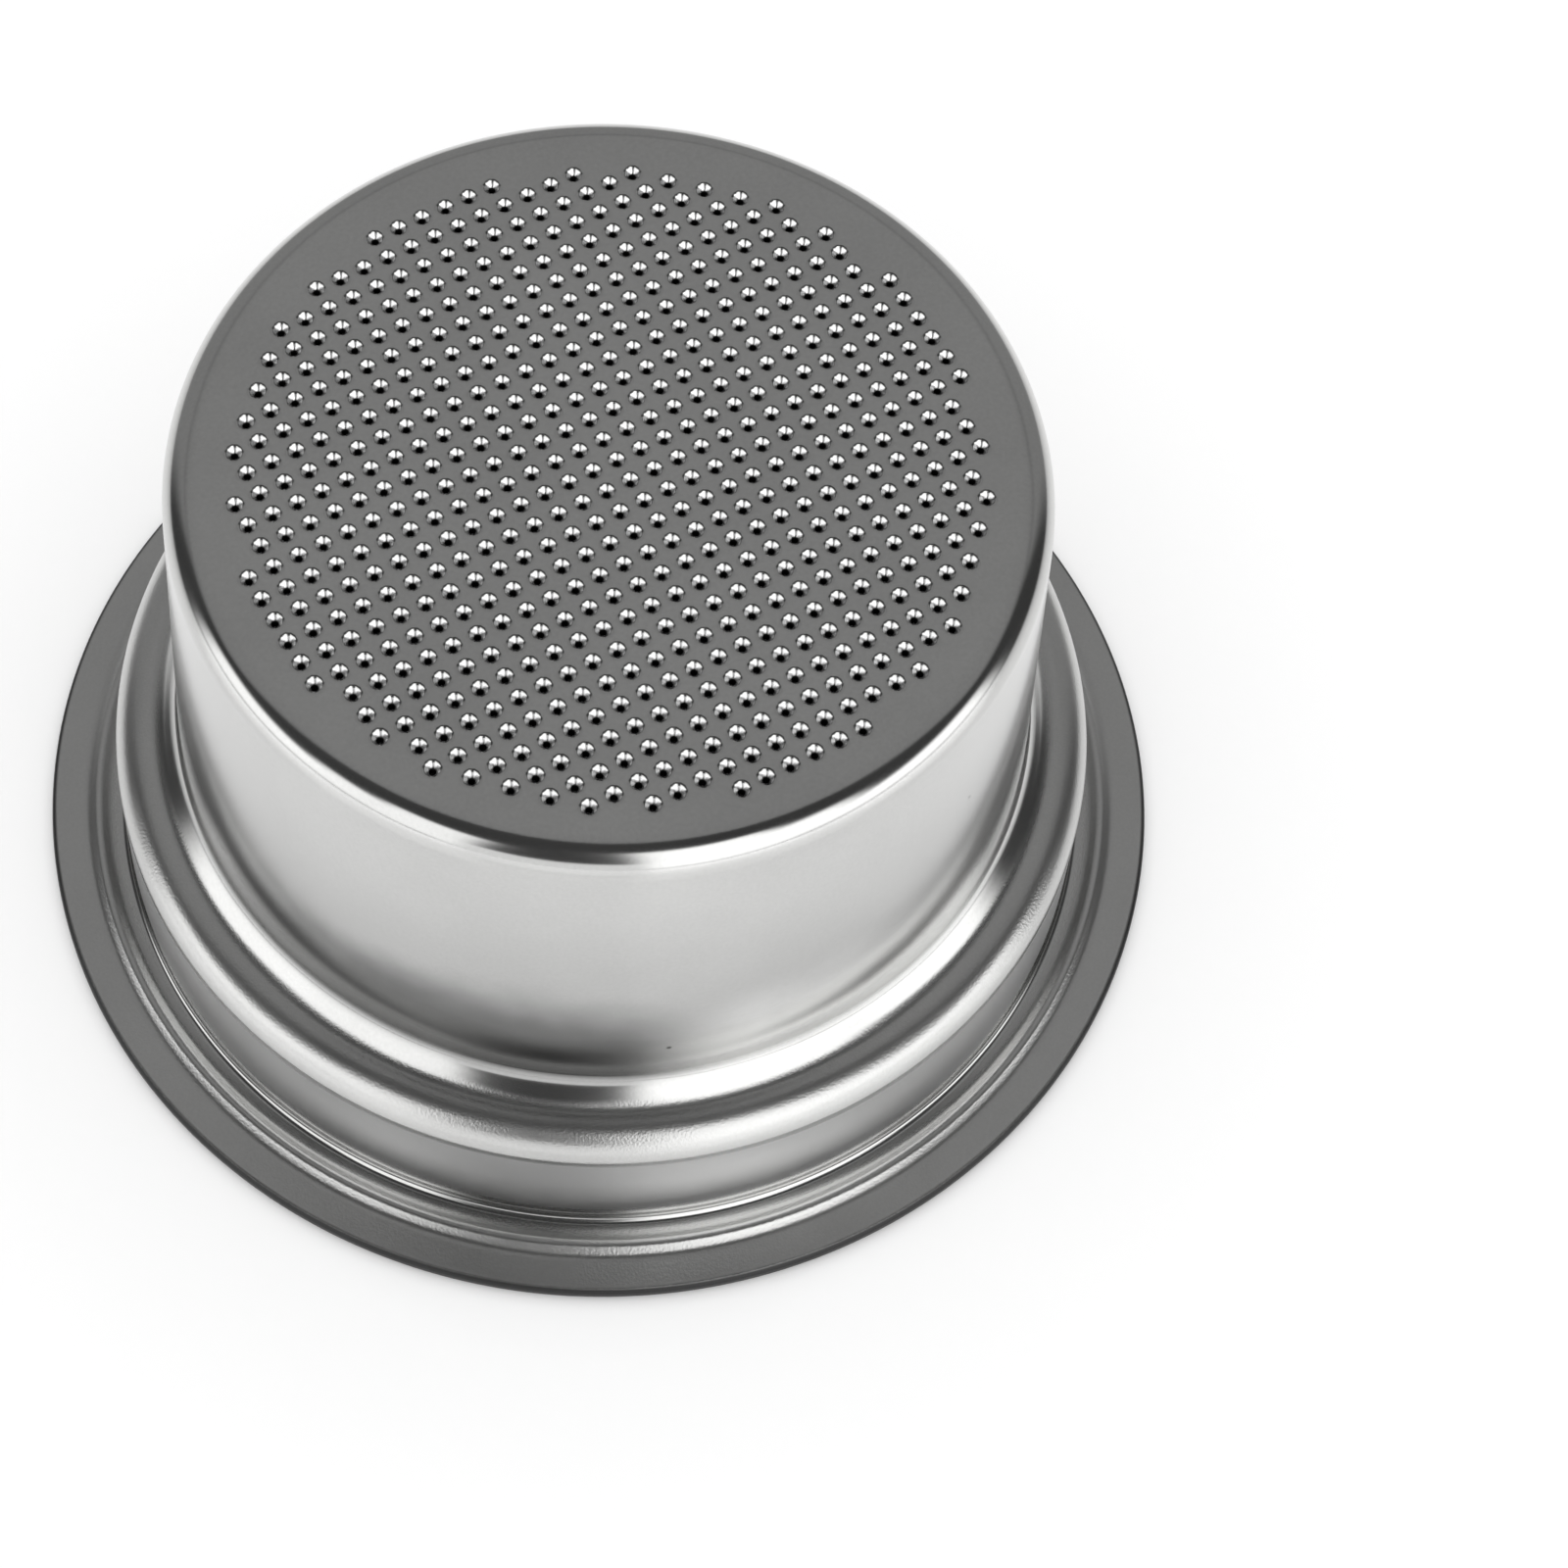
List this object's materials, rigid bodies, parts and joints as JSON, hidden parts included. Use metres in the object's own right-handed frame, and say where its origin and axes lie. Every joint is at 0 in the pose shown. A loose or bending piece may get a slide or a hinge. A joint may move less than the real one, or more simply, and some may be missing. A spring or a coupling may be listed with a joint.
{
  "type": "espresso filter basket",
  "caption": "Deep stepped espresso filter basket in pressed stainless sheet, with a flanged rim, a straight collar, a drafted well and a perforated floor. It stands mouth down.",
  "frame": {"origin": "centre of the rim's seat face, which lies on the surface that the basket stands on", "axes": "+Z along the pressing's axis, from the mouth towards the perforated floor; -Y is the side that the picture is taken from"},
  "size_m": [0.07, 0.07, 0.0376],
  "materials": {
    "stainless_sheet": "satin pressed stainless steel, burnished on the collar and finely grained on the bends"
  },
  "bodies": {
    "root": {"filter_basket": "stainless_sheet"}
  },
  "joints": []
}
